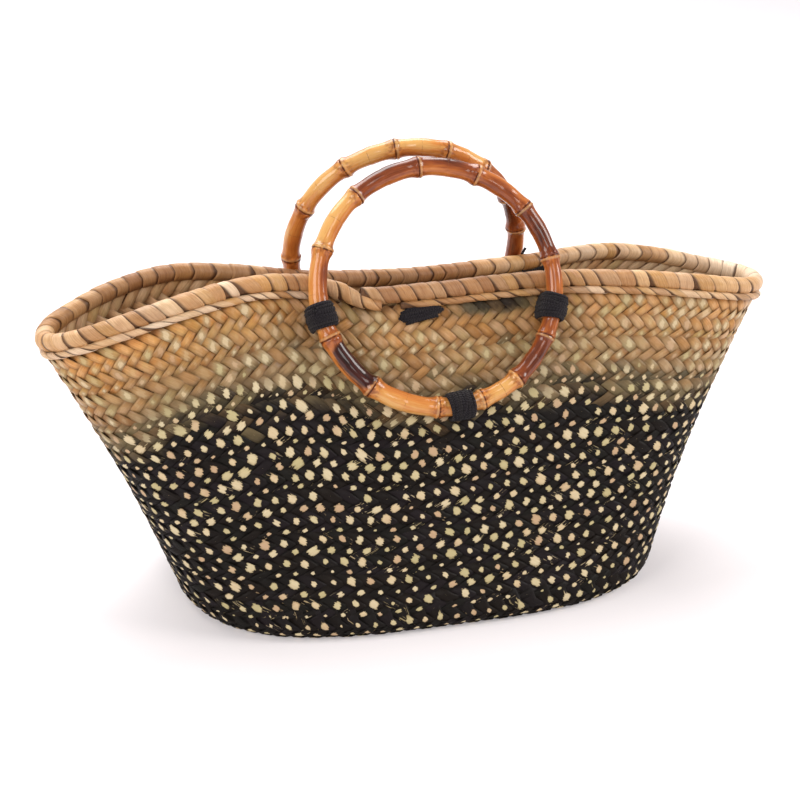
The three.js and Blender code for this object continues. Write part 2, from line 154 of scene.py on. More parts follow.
def outward(turn, level):
    """The way that the outer skin faces."""
    level = np.maximum(level, 0.06)
    around = skin(turn + 0.5, level) - skin(turn - 0.5, level)
    level = np.minimum(level, 3)
    upward = skin(turn, np.minimum(level + 0.02, 3)) - skin(turn, level - 0.02)
    normal = np.cross(around, upward)
    return normal / np.linalg.norm(normal, axis=-1, keepdims=True)


def roll_centre(turn):
    """The middle of the roll that caps the edge."""
    normal = outward(turn, 3.0)
    along = edge_point(turn + 0.5) - edge_point(turn - 0.5)
    rise = (ROLL + ROLL_CLEARANCE) * np.linalg.norm(along, axis=-1) / np.hypot(along[..., 0], along[..., 1])
    centre = edge_point(turn) - normal * WALL / 2
    centre[..., 2] += rise + np.abs(normal[..., 2]) * WALL / 2
    return centre


def piping_centre(turn):
    """The middle of the piping, as high on the skin as the roll lets it lie."""
    roll = roll_centre(turn)
    low, high = np.full_like(turn, 2.8), np.full_like(turn, 3.0)
    for _ in range(20):
        middle = (low + high) / 2
        place = skin(turn, middle) + outward(turn, middle) * PIPING
        clear = np.linalg.norm(place - roll, axis=-1) > ROLL + PIPING - PIPING_PRESS
        low, high = np.where(clear, middle, low), np.where(clear, high, middle)
    return skin(turn, low) + outward(turn, low) * PIPING


def unit(vectors):
    """The same directions, each one long."""
    return vectors / np.linalg.norm(vectors, axis=-1, keepdims=True)


class Strand:
    """A round strand along a line of points: a place on it is a distance, an angle and a lift.
    Angle 0 faces the way `inward` does, and a quarter turn faces up."""

    def __init__(self, line, radius, inward=None):
        self.line, self.radius = line, np.broadcast_to(radius, len(line))
        step = np.linalg.norm(np.diff(line, axis=0), axis=1)
        self.at = np.concatenate([[0], np.cumsum(step)])
        self.length = self.at[-1]
        self.forward = unit(np.gradient(line, self.at, axis=0))
        side = np.cross([0, 0, 1.0], self.forward) if inward is None else inward
        self.side = unit(side - self.forward * np.sum(side * self.forward, -1, keepdims=True))
        self.up = np.cross(self.forward, self.side)

    def of(self, values, distance):
        """What the values kept along the line come to at a distance."""
        if np.ndim(values) == 1:
            return np.interp(distance, self.at, values)
        return np.stack([np.interp(distance, self.at, values[:, k]) for k in range(3)], -1)

    def place(self, distance, angle, lift):
        reach = (self.of(self.radius, distance) + lift)[..., None]
        turned = np.cos(angle)[..., None] * self.of(self.side, distance) \
            + np.sin(angle)[..., None] * self.of(self.up, distance)
        return self.of(self.line, distance) + reach * turned


# Making meshes
def patch(across, along):
    """The corners and faces of a flat grid whose lines lie at the given places."""
    mesh = bmesh.new()
    bmesh.ops.create_grid(mesh, x_segments=len(across) - 1, y_segments=len(along) - 1, size=1)
    flat = np.array([v.co[:2] for v in mesh.verts])
    columns = np.rint((flat[:, 0] + 1) / 2 * (len(across) - 1)).astype(int)
    rows = np.rint((flat[:, 1] + 1) / 2 * (len(along) - 1)).astype(int)
    faces = np.array([[v.index for v in f.verts] for f in mesh.faces])
    mesh.free()
    return np.asarray(across, float)[columns], np.asarray(along, float)[rows], faces


def piece(name, points, faces, material, replaces, slot, **marks):
    """One mesh from points in millimetres, with its marks as attributes, riding on the bag."""
    mesh = bpy.data.meshes.new(name)
    points = np.asarray(points, float).reshape(-1, 3)
    mesh.from_pydata((points * MM).tolist(), [], faces if isinstance(faces, list) else faces.tolist())
    for mark, values in marks.items():
        values = np.asarray(values, np.float32)
        kind, field = ("FLOAT_VECTOR", "vector") if values.ndim > 1 else ("FLOAT", "value")
        mesh.attributes.new(mark, kind, "POINT").data.foreach_set(field, values.ravel())
    mesh.polygons.foreach_set("use_smooth", np.ones(len(mesh.polygons), bool))
    mesh.update()
    made = bpy.data.objects.new(name, mesh)
    bpy.context.scene.collection.objects.link(made)
    made.data.materials.append(material)
    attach(made, "root")
    if replaces:
        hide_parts(*replaces)
    return made


def repeated(faces, corners, copies):
    """The faces of many copies of one patch, or of patches that each have their own."""
    return (faces + corners * np.arange(copies)[:, None, None]).reshape(-1, faces.shape[-1])


def tube(strand, distances, sides, lift, close=False):
    """Points and faces of a round skin along a strand, open at its ends unless it closes on itself."""
    angles = np.linspace(0, 2 * math.pi, sides, endpoint=False)
    at, angle = np.meshgrid(distances, angles, indexing="ij")
    points = strand.place(at, angle, lift(at, angle))
    rings = len(distances)
    ring, side = np.meshgrid(np.arange(rings - (0 if close else 1)), np.arange(sides), indexing="ij")
    nxt, beside = (ring + 1) % rings, (side + 1) % sides
    faces = np.stack([ring * sides + side, nxt * sides + side, nxt * sides + beside,
                      ring * sides + beside], -1).reshape(-1, 4)
    return points.reshape(-1, 3), faces[:, ::-1], at.ravel(), angle.ravel()


def end_caps(count, sides, start=0):
    """The faces that close both ends of a tube of so many points, counted from start."""
    return [[start + k for k in range(sides)], [start + count - 1 - k for k in range(sides)]]


def wander(turn, seed, size, waves=(2, 3, 5, 9, 14)):
    """A slow uneven drift round the bag, the same at both ends of the turn."""
    starts = np.random.default_rng(seed).uniform(0, 2 * math.pi, len(waves))
    total = sum(np.sin(np.radians(turn) * wave + start) / wave ** 0.5 for wave, start in zip(waves, starts))
    return size * total / 2


# Finishes
def colour(code):
    """A colour written as six hexadecimal digits, as the light that it reflects."""
    parts = [int(code[k:k + 2], 16) / 255 for k in (0, 2, 4)]
    return (*[p / 12.92 if p <= 0.04045 else ((p + 0.055) / 1.055) ** 2.4 for p in parts], 1)


class Value:
    """A number that varies over a surface, with the sums that a material does on it."""

    def __init__(self, finish, socket):
        self.finish, self.socket = finish, socket

    def sum_of(self, operation, *terms):
        made = self.finish.node("Math", {"operation": operation}, dict(enumerate(terms)))
        return Value(self.finish, made.outputs[0])

    def __add__(self, other): return self.sum_of("ADD", self, other)
    def __sub__(self, other): return self.sum_of("SUBTRACT", self, other)
    def __mul__(self, other): return self.sum_of("MULTIPLY", self, other)
    def __radd__(self, other): return self.sum_of("ADD", other, self)
    def __rsub__(self, other): return self.sum_of("SUBTRACT", other, self)
    def __rmul__(self, other): return self.sum_of("MULTIPLY", other, self)
    def size(self): return self.sum_of("ABSOLUTE", self)
    def sine(self): return self.sum_of("SINE", self)
    def most(self, other): return self.sum_of("MAXIMUM", self, other)

    def step(self, low, high, start=0.0, end=1.0):
        """Goes smoothly from start to end as the value goes from low to high."""
        made = self.finish.node("MapRange", {"interpolation_type": "SMOOTHSTEP"},
                                {0: self, 1: low, 2: high, 3: start, 4: end})
        return Value(self.finish, made.outputs[0])


class Finish:
    """One material, built node by node."""

    def __init__(self, name, **constants):
        self.material = bpy.data.materials.new(name)
        self.material.use_nodes = True
        self.tree = self.material.node_tree
        self.shader = self.tree.nodes["Principled BSDF"]
        for socket, value in constants.items():
            self.shader.inputs[socket.replace("_", " ")].default_value = value

    def node(self, kind, settings, sockets):
        """One shader node with its settings, and its sockets linked or set."""
        made = self.tree.nodes.new("ShaderNode" + kind)
        for setting, value in settings.items():
            if setting == "stops":
                ramp = made.color_ramp
                while len(ramp.elements) < len(value):
                    ramp.elements.new(1)
                for element, (place, shade) in zip(ramp.elements, value):
                    element.position, element.color = place, shade
            else:
                setattr(made, setting, value)
        for socket, value in sockets.items():
            if isinstance(value, Value):
                self.tree.links.new(value.socket, made.inputs[socket])
            elif isinstance(value, bpy.types.NodeSocket):
                self.tree.links.new(value, made.inputs[socket])
            else:
                made.inputs[socket].default_value = value
        return made

    def mark(self, name):
        """A number kept on the mesh."""
        return Value(self, self.node("Attribute", {"attribute_name": name}, {}).outputs["Fac"])

    def marks(self, name):
        """Three numbers kept on the mesh."""
        found = self.node("Attribute", {"attribute_name": name}, {}).outputs["Vector"]
        parts = self.node("SeparateXYZ", {}, {0: found})
        return [Value(self, output) for output in parts.outputs]

    def noise(self, x, y, z, detail):
        """Cloudy unevenness at a place given by three numbers."""
        place = self.node("CombineXYZ", {}, {0: x, 1: y, 2: z}).outputs[0]
        made = self.node("TexNoise", {},
                         {"Vector": place, "Scale": 1.0, "Detail": detail, "Roughness": 0.55})
        return Value(self, made.outputs[0])

    def mix(self, share, first, second, blend="MIX"):
        """The first colour with a share of the second in it."""
        made = self.node("Mix", {"data_type": "RGBA", "blend_type": blend}, {0: share, 6: first, 7: second})
        return made.outputs[2]

    def ramp(self, value, *stops):
        """The colour that a value picks between stops."""
        return self.node("ValToRGB", {"stops": [(p, colour(c)) for p, c in stops]}, {0: value}).outputs[0]

    def done(self, shade, rough, height, depth):
        """Wires the colour, the roughness and the relief, whose full height is depth metres."""
        bump = self.node("Bump", {}, {"Strength": 1.0, "Distance": depth, "Height": height})
        wired = {"Base Color": shade, "Roughness": rough.socket, "Normal": bump.outputs[0]}
        for socket, value in wired.items():
            self.tree.links.new(value, self.shader.inputs[socket])
        return self.material


def straw_finish(name, dyed):
    """Palm leaf strands: streaked along the fibre, paler where worn at each crest, dyed black below."""
    make = Finish(name, Specular_IOR_Level=0.1, Coat_Roughness=0.3)
    along, across, seed = make.marks("strand")
    (lengthwise, crosswise, size), amber = make.marks("crest"), make.mark("amber")
    fibre = make.noise(along * 0.09, across * 1.5, seed * 61, 4.0)
    ragged = make.noise(along * 0.5, across * 0.9, seed * 87 + 9, 3.0)
    fingers = make.noise(along * 0.1, across * 0.85, seed * 45 + 2, 2.0)
    patchy = make.noise(along * 0.12, across * 0.12, seed * 33 + 4, 2.0)
    # The inner straw's tones are paler than the outer's, partly as painted light on the shaded inside of the
    # bag.
    tones = ("a57440", "c8955a", "d5a274", "b8975c") if dyed else ("cba17a", "dcb58c", "e4c0a0", "d2b484")
    natural = make.ramp(patchy * 0.55 + seed * 0.5, *zip((0.2, 0.4, 0.58, 0.78), tones))
    natural = make.mix(amber.most(0.0) * 0.75, natural, make.ramp(patchy, (0.3, "c4782e"), (0.6, "e0a250")))
    # Below 0 the amber goes to pale: random tone, and painted light at the bag's right end.
    pale = make.ramp(seed, (0.2, "e6d0aa"), (0.8, "eed7bc"))
    natural = make.mix((0.0 - amber).most(0.0) * 0.7, natural, pale)
    worn = make.ramp((seed * 17.3 + patchy).sine() * 0.5 + 0.5, (0.0, "b4ab80"), (0.15, "c3b78f"),
                     (0.5, "d0c3a2"), (0.9, "ccb894"), (1.0, "ba9c7e"))
    streaks = fibre.step(0.25, 0.75)
    natural = make.mix(streaks * 0.35, natural, make.mix(1.0, natural, colour("9a7a58"), "MULTIPLY"))
    # Painted shade: darker at each float's long edges, at its ends where it dives under, and on its
    # under-lapping side.
    natural = make.mix(across.size().step(2.4, 3.2) * 0.55, natural, colour("5c3a1e"))
    natural = make.mix(along.size().step(2.6, 7.0) * 0.6, natural, colour("6a4524"))
    natural = make.mix((across + ragged).step(0.6, 3.2) * 0.35, natural, colour("6f4b2a"))
    end = (lengthwise + (ragged - 0.5) * 0.6).size() + (fingers - 0.5) * 1.5
    flank = (crosswise + (ragged - 0.5) * 0.6).size()
    spread = 1.0 - end.most(flank).most((end + flank) * 0.64)
    if dyed:
        dye = make.mark("dye") + (patchy - 0.5) * 0.5 + (fibre - 0.5) * 0.3
        black = make.ramp((seed * 11.7).sine() * 0.5 + 0.5, (0.0, "16100c"), (0.4, "100c0a"),
                          (0.7, "13120e"), (1.0, "191316"))
        black = make.mix(streaks * 0.3, black, colour("211a17"))
        half = make.ramp(seed, (0.0, "6e5f42"), (0.5, "574d3a"), (1.0, "6c5438"))
        brown = make.ramp(seed, (0.2, "6b4b2b"), (0.7, "7d6640"))
        body = make.mix(dye.step(-2.6, 0.1) * 0.62, natural, brown)
        body = make.mix(dye.step(-0.2, 0.9), body, half)
        body = make.mix(dye.step(0.7, 1.7), body, black)
        # on bare straw a crest is worn in a soft cloud, and on black straw in a sharp spot; the pale slivers
        # along the fibre are partly loose fibres and partly painted glints
        soft = spread.step(-1.8, 0.6) * (0.2 + (seed * 9.3).sine().step(-0.2, 1.0) * 0.65)
        sliver = make.noise(along * 0.09, across * 1.5, seed * 71 + 3, 1.0).step(0.62, 0.66)
        sliver = sliver * patchy.step(0.53, 0.58) * (size * 30).sine().step(0.3, 0.5)
        sharp = spread.step(0.0, 0.12).most(sliver)
        blacked = dye.step(0.2, 1.0)
        spot = soft * (1 - blacked) + sharp * blacked
        gloss = 0.28 - blacked * 0.22
    else:
        body = natural
        spot = spread.step(-1.8, 0.7) * 0.35
        gloss = 0.2
    worn = make.mix(streaks * 0.3, worn, colour("bd9c6c"))
    worn = make.mix(spread.step(0.0, 0.4, 0.55, 0.0), worn, colour("7a6642"))
    shade = make.mix(spot, body, worn)
    make.tree.links.new((gloss * (1.2 - streaks * 0.5)).socket, make.shader.inputs["Coat Weight"])
    return make.done(shade, 0.5 + streaks * 0.25, fibre * 0.7 + ragged * 0.3, 0.0005)


def rim_finish():
    """The leaf that wraps the rim: tan and pinkish, with painted shade in the laps and a painted highlight near
    each lap's edge.
    """
    make = Finish("rim_leaf", Specular_IOR_Level=0.45)
    along, across, seed = make.marks("strand")
    lap, amber, brown = make.mark("crest"), make.mark("amber"), make.mark("dye")
    fibre = make.noise(along * 0.1, across * 1.6, seed * 61, 4.0)
    patchy = make.noise(along * 0.14, across * 0.2, seed * 33 + 4, 3.0)
    shade = make.ramp(patchy * 0.5 + seed * 0.55, (0.2, "9e7244"), (0.4, "c29464"), (0.6, "d6af80"),
                      (0.78, "c2965c"), (0.95, "cd9f7c"))
    shade = make.mix(amber.most(0.0) * 0.45, shade, colour("c98a3c"))
    # The brown kept as dye on the leaf is partly painted shade at the back of the roll, and below 0 the leaf
    # goes pale, partly painted light on the right end.
    shade = make.mix(brown.most(0.0) * 0.6, shade, colour("845230"))
    shade = make.mix((0.0 - brown).most(0.0) * 0.9, shade, colour("f2dec4"))
    streaks = fibre.step(0.3, 0.75)
    shade = make.mix(streaks * 0.4, shade, make.mix(1.0, shade, colour("a88460"), "MULTIPLY"))
    # painted shadow where each lap dives under the one before, and a painted highlight near its overlapping
    # edge
    shade = make.mix(lap.step(0.0, 1.0, 0.85, 0.0), shade, colour("3c2010"))
    shade = make.mix(lap.step(3.8, 4.6) * 0.35, shade, colour("ecd6b4"))
    return make.done(shade, 0.38 + streaks * 0.22, fibre, 0.0005)


def bamboo_finish():
    """Honey-coloured cane under varnish: streaks along it, brown at the joints, burnt in patches."""
    make = Finish("bamboo", Specular_IOR_Level=0.15, Coat_Roughness=0.06)
    along, across, joint = make.marks("cane")
    burn, tone = make.mark("burn"), make.mark("tone")
    grain = make.noise(along * 0.05, across * 0.9, 3.0, 5.0)
    cloud = make.noise(along * 0.035, across * 0.1, 8.0, 3.0)
    shade = make.ramp(tone + (cloud - 0.5) * 0.9 + (grain - 0.5) * 0.5, (0.0, "d6a15c"), (0.22, "c9803c"),
                      (0.48, "b4652a"), (0.72, "86401a"), (0.98, "481c0d"))
    brown = make.noise(along * 0.3, across * 0.35, 5.0, 4.0)
    near = joint.size().step(1.0, 9.0, 1.0, 0.0)
    shade = make.mix((near * brown.step(0.4, 0.62)) * 0.7, shade, colour("6d2c0e"))
    shade = make.mix((joint - 1.5).size().step(0.2, 1.3, 0.4, 0.0), shade, colour("d9ae74"))
    line = joint.size().step(0.25, 0.8, 1.0, 0.0)
    shade = make.mix(line * brown.step(0.25, 0.55) * 0.9, shade, colour("431a0a"))
    shade = make.mix((burn + (cloud - 0.5) * 1.2 + (grain - 0.5) * 0.5).step(0.35, 0.75), shade,
                     make.ramp(grain, (0.35, "1e0703"), (0.65, "431307")))
    make.tree.links.new((0.75 - line * 0.7).socket, make.shader.inputs["Coat Weight"])
    return make.done(shade, 0.3 + brown * 0.15, grain * 0.4 + brown * 0.6, 0.0003)


def cord_finish():
    """Dark soft yarn: a fine twist, painted lighter on its ridges as a highlight, with faint purple and green
    in the black.
    """
    make = Finish("dark_yarn", Specular_IOR_Level=0.2, Sheen_Weight=0.06, Sheen_Roughness=0.5)
    along, across, seed = make.marks("strand")
    twist = (along * 3.6 + across * 1.0).sine() * 0.5 + 0.5
    fuzz = make.noise(along * 2.0, across * 1.5, seed * 21, 4.0)
    shade = make.ramp(fuzz * 0.6 + seed * 0.4, (0.25, "0f0c10"), (0.5, "19151a"), (0.75, "201d1c"))
    # painted highlight on the ridges of the twist
    shade = make.mix(twist * 0.3, shade, colour("322c31"))
    return make.done(shade, 0.75 + fuzz * 0.2, twist * 0.7 + fuzz * 0.3, 0.0006)


def core_finish():
    """A dark sheet seen in the gaps, its darkness painted shade: black where the straw is dyed, brown above."""
    make = Finish("wall_core")
    along, across, dye = make.marks("strand")
    grain = make.noise(along, across, 3.0, 3.0)
    shade = make.mix(dye.step(0.0, 1.0), make.ramp(grain, (0.3, "4a2e18"), (0.7, "6b4626")),
                     make.ramp(grain, (0.3, "0e0b0a"), (0.7, "1a1411")))
    return make.done(shade, 0.8 + grain * 0.1, grain, 0.0004)


STRAW = straw_finish("dyed_straw", True)
STRAW_INSIDE = straw_finish("inner_straw", False)
RIM_LEAF = rim_finish()
BAMBOO = bamboo_finish()
YARN = cord_finish()
CORE = core_finish()


# The plait
# The rows of a strip, and of the strip whose first row is laid over the edge inside
ROW_HEIGHTS = (1.17, 0.93, 1.15, 0.75)
HEM_HEIGHTS = (2.1, 1.0, 1.1, 0.9)
STRIP_ROWS = len(ROW_HEIGHTS)
# Where the lines of a float's mesh lie, as shares of its length and width: finely, and plainly
FINE_ALONG = (-0.68, -0.52, -0.4, -0.2, 0.0, 0.2, 0.4, 0.52, 0.68)
FINE_ACROSS = (-0.5, -0.475, -0.22, 0.22, 0.475, 0.5)
PLAIN_ALONG = (-0.66, -0.45, -0.15, 0.15, 0.45, 0.66)
PLAIN_ACROSS = (-0.5, -0.475, 0.0, 0.475, 0.5)
# Heights over the skin, in millimetres: a float's crest, its dive, its sharp edge and its tilt,
# how far the base's floats are sunk into it, and the lowest that any may reach over the floor
CREST, DEEPEST, EDGE_FALL, TILT, BASE_SINK, LOWEST = 0.5, 1.2, 0.4, 0.3, 1.2, 0.02
# The pale spot on a crest, as shares of the float, and how it leans
SPOT_LENGTH, SPOT_WIDTH, SPOT_LEAN = (0.14, 0.215), (0.32, 0.46), 0.245
# The painted shade under the piping, a dark band on the wall: its turn, its half width in degrees, its
# strength, and where it starts
PIPING_SHADE_TURN, PIPING_SHADE_SPREAD, PIPING_SHADE, PIPING_SHADE_FROM = 281, 9, 2.4, 0.915
# The highest level that a float reaches, just over the edge
HIGHEST = 3.05


def float_height(a, b):
    """The lift of a strand's skin over its length (a) and width (b), both -0.5 to 0.5 where it shows."""
    bow = np.clip((np.abs(a) - 0.12) / 0.46, 0, 1)
    crown = 0.35 * (1 - (np.abs(b) / 0.5) ** 2)
    side = np.where(np.abs(b) > 0.49, EDGE_FALL, 0)
    return CREST - (CREST + DEEPEST) * bow ** 1.7 + crown - 0.35 - side


class Strip:
    """One plaited strip of four rows, all the way round, between two levels of the wall."""

    def __init__(self, top, bottom, count, seed, inside=False, heights=ROW_HEIGHTS):
        self.top, self.bottom, self.count, self.seed, self.inside = top, bottom, count, seed, inside
        self.row_tops = np.concatenate([[0], np.cumsum(heights)]) / sum(heights) * STRIP_ROWS
        turns = np.linspace(0, 360, 1441)
        ring = skin(turns, (top + bottom) / 2)
        steps = np.concatenate([[0], np.cumsum(np.linalg.norm(np.diff(ring, axis=0), axis=1))])
        self.turns, self.shares, self.length = turns, steps / steps[-1], steps[-1]

    def turn(self, x):
        lap, share = np.divmod(x / self.count, 1.0)
        return 360 * lap + np.interp(share, self.shares, self.turns)

    def place(self, x, y, lift):
        """x counts floats along the strip and y rows down it."""
        turn = self.turn(x)
        down = np.interp(y, [-1, *np.arange(STRIP_ROWS + 1), STRIP_ROWS + 1],
                         [-1, *self.row_tops, STRIP_ROWS + 1]) / STRIP_ROWS
        sway = wander(turn, 7, 0.006) if self.top > 2 else 0
        level = self.top + (self.bottom - self.top) * down + sway
        level = np.minimum(level, HIGHEST)
        lift = -WALL - lift if self.inside else lift - BASE_SINK * np.clip(2 - level, 0, 1)
        return skin(turn, level) + outward(turn, level) * np.asarray(lift)[..., None], turn, level


def shade_under_piping(turn, share):
    """How dark the painted shade is along the wall just under the piping, carried as dye."""
    near = np.exp(-((turn % 360 - PIPING_SHADE_TURN) / PIPING_SHADE_SPREAD) ** 4)
    return PIPING_SHADE * near * np.clip((share - PIPING_SHADE_FROM) * 25, 0, 1)


def worn_spots(strip, own, lowest, a, b, painted_piping_shade):
    """Where each point lies from its float's pale spot, in half lengths and widths, and the spot's size."""
    n = len(lowest)
    size = np.clip(own.normal(1, 0.22, n), 0.3, 1.5) * np.where(lowest, 0.7, 1) * (own.random(n) > 0.05)
    size = size * (painted_piping_shade.max(1) < 0.15) * (0.8 + 0.2 * np.clip((strip.top - 2) * 2, 0, 1))
    long = own.uniform(*SPOT_LENGTH, n) * size + 0.01
    broad = own.uniform(*SPOT_WIDTH, n) * size + 0.01
    slip, slide = own.normal(0.05, 0.04, n), own.normal(0, 0.05, n)
    return np.stack(np.broadcast_arrays((a - SPOT_LEAN * b - slip[:, None]) / long[:, None],
                                        (b - slide[:, None]) / broad[:, None], size[:, None]), -1)


def dye_and_amber(own, lowest, turn, share, painted_piping_shade):
    """How black the dye has made each point, the painted shade under the piping included, and how amber its
    bare straw is.
    """
    n = len(lowest)
    brown = round_table(STRAW_TONE_AND_PAINTED_LIGHT, 1, turn)
    dye_edge = round_table(DYE_EDGE, 1, turn) + wander(turn, 5, 0.012) + 0.065
    dye = (dye_edge - share) / (0.095 + wander(turn, 13, 0.03))
    # the dye also takes the table's brown and the painted shade under the piping
    dye = np.maximum(dye, 1.9 * brown - 2.8 + painted_piping_shade) + (own.normal(0, 0.25, n) + 0.3 * lowest)[:, None]
    amber = np.clip((share - 0.76) * 7, 0, 1) * round_table(STRAW_TONE_AND_PAINTED_LIGHT, 2, turn)
    # a negative amber, from the table's paler right end, pales the straw: painted light
    amber = amber + own.normal(0, 0.2, n)[:, None] + np.minimum(brown, 0) * (0.8 + wander(turn, 3, 0.4))
    return dye, np.clip(amber, -1, 1)


def weave(name, strip, material, fine=False, replaces=()):
    """Every float of a strip, each a domed leaf that dives under its neighbours at both ends."""
    b, a, faces = patch(FINE_ACROSS, FINE_ALONG) if fine else patch(PLAIN_ACROSS, PLAIN_ALONG)
    own = np.random.default_rng(strip.seed)
    n = strip.count * STRIP_ROWS
    row = np.repeat(np.arange(STRIP_ROWS), strip.count)
    number = np.tile(np.arange(strip.count), STRIP_ROWS)
    lowest = row == STRIP_ROWS - 1
    leaning = np.where(row % 2 == 0, 1.0, -1.0)
    middle = number + np.where(row % 2 == 0, 0.0, 0.5) + own.normal(0, 0.035, n)
    height = row + 0.5 + own.normal(0, 0.02, n)
    wide = np.clip(own.normal(1.04, 0.05, n), 0.9, 1.12)
    rise = own.normal(0, 0.12, n) - 0.15 * lowest
    tip, seed = own.normal(0, 0.25, n), own.random(n)
    A, B = a[None, :], b[None, :] * wide[:, None]
    hem = (row == 0)[:, None] & (strip.inside and strip.top > 3)
    x = middle[:, None] + leaning[:, None] * (A * np.where(hem, 1.4, 1) - np.where(hem, 0.3, 0.5) * B)
    y = height[:, None] + A + 0.5 * B
    lift = float_height(A, b[None, :]) + rise[:, None] - 2 * TILT * B + tip[:, None] * A
    lift = np.where(hem & (A < 0.1), CREST + rise[:, None] - 1.6 * B, np.maximum(lift, -DEEPEST))
    points, turn, level = strip.place(x, y, lift)
    points[..., 2] = np.maximum(points[..., 2], LOWEST)
    pitch = strip.length / strip.count
    strand = np.stack(np.broadcast_arrays(A * pitch * 1.3, B * 6.1, seed[:, None]), -1)
    share = np.clip(level - 2, -0.3, 1)
    painted_piping_shade = shade_under_piping(turn, share)
    crest = worn_spots(strip, own, lowest, A, B, painted_piping_shade)
    dye, amber = dye_and_amber(own, lowest, turn, share, painted_piping_shade)
    turned = faces[:, ::-1] if strip.inside else faces
    # a strand that leans the other way is mirrored, so its faces turn round
    flipped = np.where(leaning[:, None, None] > 0, turned[None], turned[None, :, ::-1])
    return piece(name, points, repeated(flipped, len(a), n), material, replaces, "straw",
                 strand=strand.reshape(-1, 3), crest=crest.reshape(-1, 3), dye=dye.ravel(), amber=amber.ravel())


# The seven strips of the wall from the top down, with the floats in a row of each, then those of the base
TOP_LEVEL, HEM_LEVEL = 2.988, 3.035
WALL_COUNTS = (121, 106, 91, 85, 82, 80, 78)
WALL_SIZES = np.array([1.08, 1.06, 1.03, 1.0, 0.97, 0.94, 0.92])
BASE_STRIPS = ((0.98, 0.75, 62), (0.75, 0.52, 46), (0.52, 0.29, 30), (0.29, 0.06, 14))
levels = TOP_LEVEL - np.concatenate([[0], np.cumsum(WALL_SIZES / WALL_SIZES.sum())]) * (TOP_LEVEL - 2)
for k, count in enumerate(WALL_COUNTS):
    strip = Strip(levels[k], levels[k + 1], count, 100 + k)
    weave(f"outer_plait_{k + 1}", strip, STRAW, True, ("woven_body",) if k == 0 else ())
    top, heights = (levels[k], ROW_HEIGHTS) if k else (HEM_LEVEL, HEM_HEIGHTS)
    inner = Strip(top, levels[k + 1], count - 2, 200 + k, True, heights)
    weave(f"inner_plait_{k + 1}", inner, STRAW_INSIDE)
weave("corner_plait", Strip(2.0, 0.98, count=88, seed=120), STRAW)
weave("inner_corner_plait", Strip(2.0, 1.1, count=74, seed=220, inside=True), STRAW_INSIDE)
for k, (top, bottom, count) in enumerate(BASE_STRIPS):
    weave(f"base_plait_{k + 1}", Strip(top, bottom, count, 140 + k), STRAW)
    weave(f"inner_base_plait_{k + 1}", Strip(top, bottom, count, 240 + k, inside=True), STRAW_INSIDE)


# How deep under the outer skin both sides of the sheet in the middle of the wall lie
CORE_DEPTHS = (1.35, 1.45)


def core():
    """The thin dark sheet in the middle of the wall that closes the gaps of the plait, dark as their painted
    shade.
    """
    turns = np.linspace(0, 360, 217)[:-1]
    base, bend, wall = np.linspace(0.02, 1, 14), np.linspace(1, 2, 7), np.linspace(2, 3, 30)
    levels = np.concatenate([base[:-1], bend[:-1], wall])
    level, turn = np.meshgrid(levels, turns, indexing="ij")
    skins = [skin(turn, level) - outward(turn, level) * depth for depth in CORE_DEPTHS]
    points = np.concatenate([s.reshape(-1, 3) for s in skins])
    n, m = level.shape
    row, col = np.meshgrid(np.arange(n - 1), np.arange(m), indexing="ij")
    nxt = (col + 1) % m
    low, high = row * m, (row + 1) * m
    quads = np.stack([low + col, low + nxt, high + nxt, high + col], -1).reshape(-1, 4)
    top = (n - 1) * m + np.arange(m)
    beside = (n - 1) * m + (np.arange(m) + 1) % m
    rim = np.stack([top, beside, beside + n * m, top + n * m], -1)
    faces = [*quads.tolist(), *(quads[:, ::-1] + n * m).tolist(), *rim.tolist(),
             list(range(m))[::-1], list(range(n * m, n * m + m))]
    share, around = np.tile(level.ravel() - 2, 2), np.tile(turn.ravel(), 2)
    dye = (round_table(DYE_EDGE, 1, around) - share) * 12
    dye[n * m:] = -1
    return piece("wall_core", points, faces, CORE, (), "straw", strand=stack(share * 40, around * 0.1, dye))


core()


# The rim
# How broad a turn of leaf is, as a share of its pitch, so that it lies over the next one's edge
LAP_REACH = 1.14


def roll_line():
    """The roll, from its blunt start round to the tail that tapers and is tucked under beside it."""
    end = START_TURN + 360 + TAIL_LAP
    turns = np.arange(START_TURN, end + 0.01, 0.5)
    left = (end - turns) * math.radians(1) * RIM_HALF_LENGTH
    tuck = np.clip(1 - left / TAIL_LENGTH, 0, 1)
    tuck = tuck * tuck * (3 - 2 * tuck)
    line = roll_centre(turns) + outward(turns, 2.95) * (tuck * TAIL_OUT)[:, None]
    line[:, 2] -= tuck * TAIL_DROP
    return Strand(line, ROLL + (TAIL_RADIUS - ROLL) * tuck)


def piping_line():
    """The piping, thinner and tucked closer to the wall round both ends of the bag."""
    turns = np.arange(START_TURN + PIPING_START, START_TURN + 360 - PIPING_END, 0.5)
    tip = np.exp(-(np.abs(np.mod(turns + 90, 180) - 90) / 13) ** 2)
    line = piping_centre(turns) - outward(turns, 2.95) * (1.6 * tip)[:, None]
    line[:, 2] += 0.6 * tip
    return Strand(line, PIPING * (1 - 0.35 * tip))


